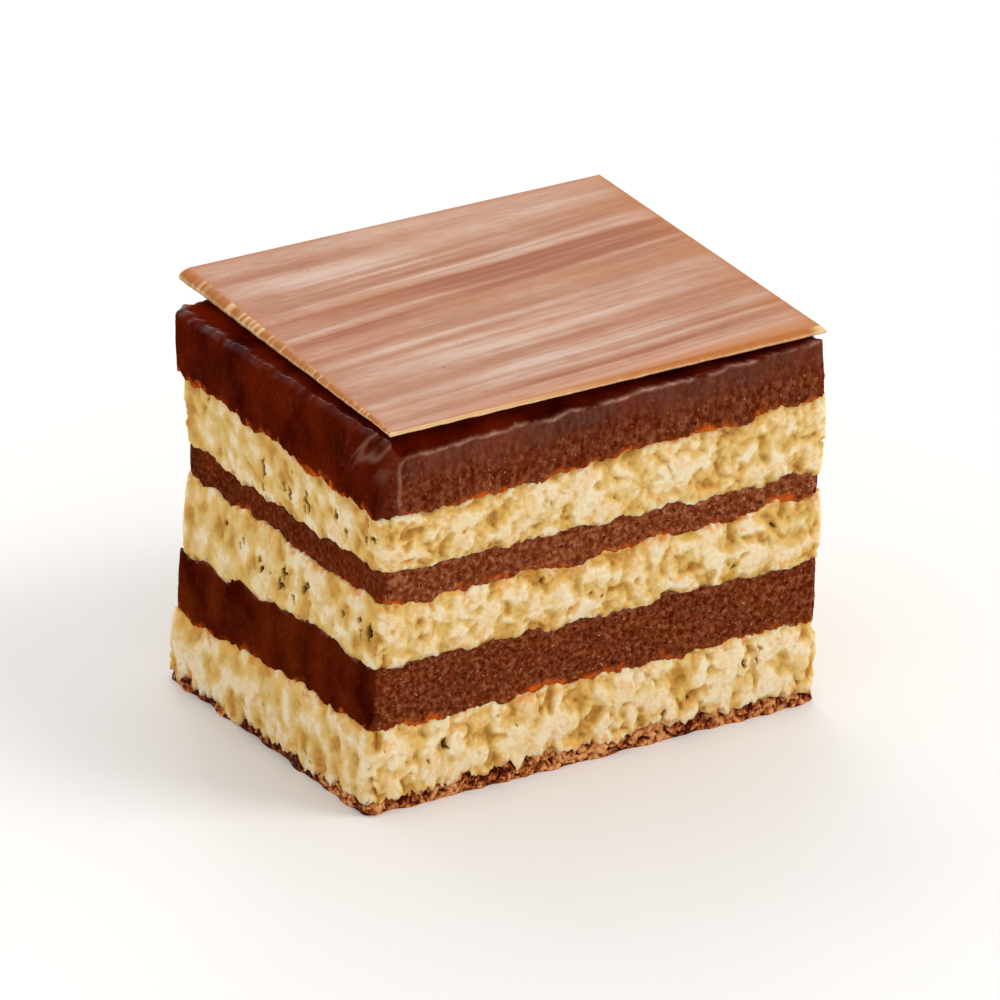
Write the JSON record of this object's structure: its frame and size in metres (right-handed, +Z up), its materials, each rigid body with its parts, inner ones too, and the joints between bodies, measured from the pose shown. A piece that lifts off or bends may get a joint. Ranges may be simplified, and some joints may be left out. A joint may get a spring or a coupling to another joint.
{
  "type": "hazelnut petit four",
  "caption": "Small upright block of pale sponge layered with chocolate ganache, on a thin coat of chocolate, topped by a thin brushed chocolate plaque.",
  "frame": {"origin": "middle of the underside, on the surface the cake stands on", "axes": "+Z up, +X along the long cut face, +Y along the short one; the faces at -Y and -X are the ones the picture shows"},
  "size_m": [0.034, 0.0277, 0.0264],
  "materials": {
    "sponge": "open pale crumb",
    "ganache": "satin dark chocolate",
    "chocolate_coat": "crumbly chocolate",
    "brushed_chocolate": "semi-gloss with brushed streaks"
  },
  "bodies": {
    "root": {"chocolate_base": "chocolate_coat", "sponge_bottom": "sponge", "ganache_lower": "ganache", "sponge_middle": "sponge", "ganache_middle": "ganache", "sponge_top": "sponge", "ganache_top": "ganache", "chocolate_plaque": "brushed_chocolate"}
  },
  "joints": []
}
